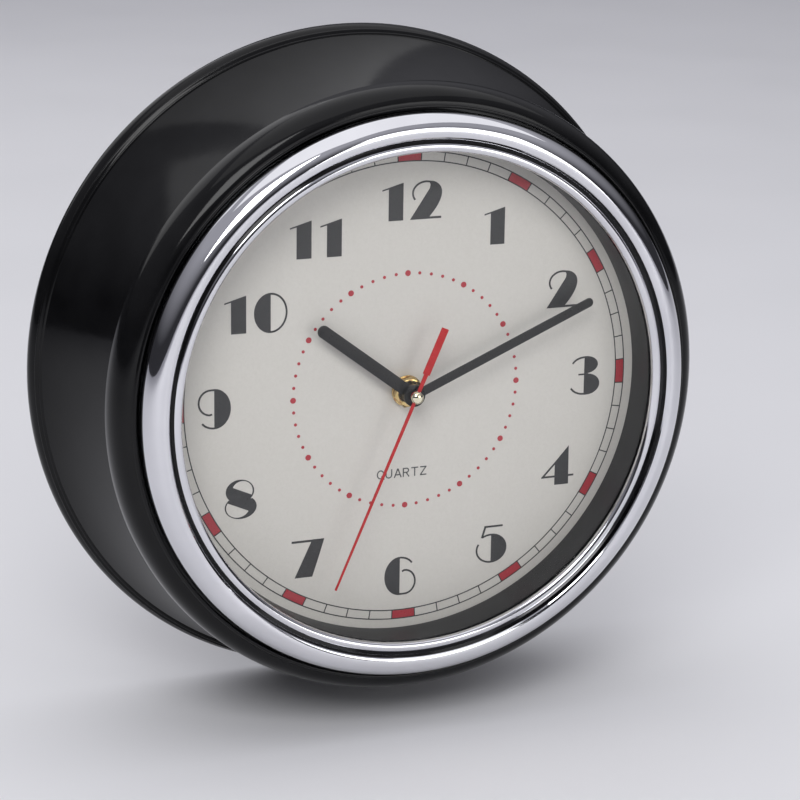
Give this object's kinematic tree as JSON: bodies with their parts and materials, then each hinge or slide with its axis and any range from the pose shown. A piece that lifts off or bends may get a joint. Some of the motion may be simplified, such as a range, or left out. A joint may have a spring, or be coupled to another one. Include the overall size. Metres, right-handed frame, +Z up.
{
  "type": "wall clock",
  "caption": "Deep round wall clock with a flared case, chromed bezel, flat glass, printed dial, turning hands and a battery movement inside.",
  "frame": {"origin": "the point on the wall plane where the shank of the wall screw bears in the top of the keyhole slot", "axes": "-Y out of the wall towards the viewer, along the axis of the hands; +Z up towards twelve on the dial; +X to the viewer's right"},
  "size_m": [0.3, 0.102, 0.3],
  "materials": {
    "black_gloss": "glossy moulded black",
    "chrome_plate": "polished chrome plating",
    "clear_glass": "clear flat glass",
    "hardboard": "bare hardboard",
    "dial_paper": "matte printed warm grey",
    "zinc_steel": "zinc plated",
    "soft_iron": "stamped bare",
    "copper_wire": "enamelled wire",
    "circuit_board": "bare laminate",
    "black_matte": "fine moulded grain",
    "brass": "polished",
    "rubber": "matte",
    "battery_jacket": "shrunk plastic jacket",
    "magnet": "sintered grey",
    "gear_plastic": "natural moulded",
    "hand_black": "satin black",
    "hand_red": "satin red"
  },
  "bodies": {
    "case": {"rear_case": "black_gloss", "front_ring": "black_gloss", "chrome_bezel": "chrome_plate", "lens_glass": "clear_glass", "inner_ring": "black_gloss", "dial_board": "hardboard", "dial_sheet": "dial_paper", "case_screw_1": "zinc_steel", "case_screw_2": "zinc_steel", "case_screw_3": "zinc_steel", "case_screw_4": "zinc_steel", "hanger_plate": "zinc_steel", "hanger_screw_left": "zinc_steel", "hanger_screw_right": "zinc_steel", "movement_base": "black_matte", "movement_cover": "black_matte", "threaded_bushing": "brass", "hex_nut": "brass", "brass_washer": "brass", "rubber_washer": "rubber", "stator": "soft_iron", "coil_core": "soft_iron", "coil_winding": "copper_wire", "circuit_board": "circuit_board", "quartz_crystal": "zinc_steel", "driver_chip": "black_matte", "battery_contact_plus": "zinc_steel", "battery_contact_minus": "zinc_steel"},
    "seconds": {"second_hand": "hand_red", "second_hand_cap": "brass", "seconds_wheel": "gear_plastic"},
    "minutes": {"minute_hand": "hand_black", "minute_arbor": "zinc_steel", "centre_wheel": "gear_plastic"},
    "hours": {"hour_hand": "hand_black", "hour_wheel": "gear_plastic"},
    "setting": {"minute_wheel": "gear_plastic", "setting_knob": "black_matte"},
    "third": {"third_wheel": "gear_plastic"},
    "transfer": {"transfer_wheel": "gear_plastic"},
    "motor": {"rotor": "magnet"},
    "cell": {"battery": "battery_jacket"}
  },
  "joints": [
    {"name": "second_turn", "type": "hinge", "parent": "case", "child": "seconds", "pos_m": [0, -0.088, -0.13], "axis": [0, 1, 0], "continuous": true},
    {"name": "minute_turn", "type": "hinge", "parent": "case", "child": "minutes", "pos_m": [0, -0.086, -0.13], "axis": [0, 1, 0], "continuous": true},
    {"name": "hour_turn", "type": "hinge", "parent": "case", "child": "hours", "pos_m": [0, -0.083, -0.13], "axis": [0, 1, 0], "continuous": true},
    {"name": "third_turn", "type": "hinge", "parent": "case", "child": "third", "pos_m": [-0.00918, -0.063, -0.13], "axis": [0, 1, 0], "continuous": true},
    {"name": "knob_turn", "type": "hinge", "parent": "case", "child": "setting", "pos_m": [0.00902, -0.053, -0.12672], "axis": [0, 1, 0], "continuous": true},
    {"name": "transfer_turn", "type": "hinge", "parent": "case", "child": "transfer", "pos_m": [0.00186, -0.059, -0.12305], "axis": [0, 1, 0], "continuous": true},
    {"name": "rotor_turn", "type": "hinge", "parent": "case", "child": "motor", "pos_m": [0.00186, -0.062, -0.11675], "axis": [0, 1, 0], "continuous": true},
    {"name": "battery_slide", "type": "slide", "parent": "case", "child": "cell", "axis": [0, 1, 0], "range_m": [0, 0.03]}
  ],
  "couplings": [
    {"joint": "minute_turn", "follows": "second_turn", "ratio": 0.016667},
    {"joint": "hour_turn", "follows": "second_turn", "ratio": 0.0013889},
    {"joint": "third_turn", "follows": "second_turn", "ratio": -0.13333},
    {"joint": "knob_turn", "follows": "second_turn", "ratio": -0.0055556},
    {"joint": "transfer_turn", "follows": "second_turn", "ratio": -5},
    {"joint": "rotor_turn", "follows": "second_turn", "ratio": 30}
  ]
}
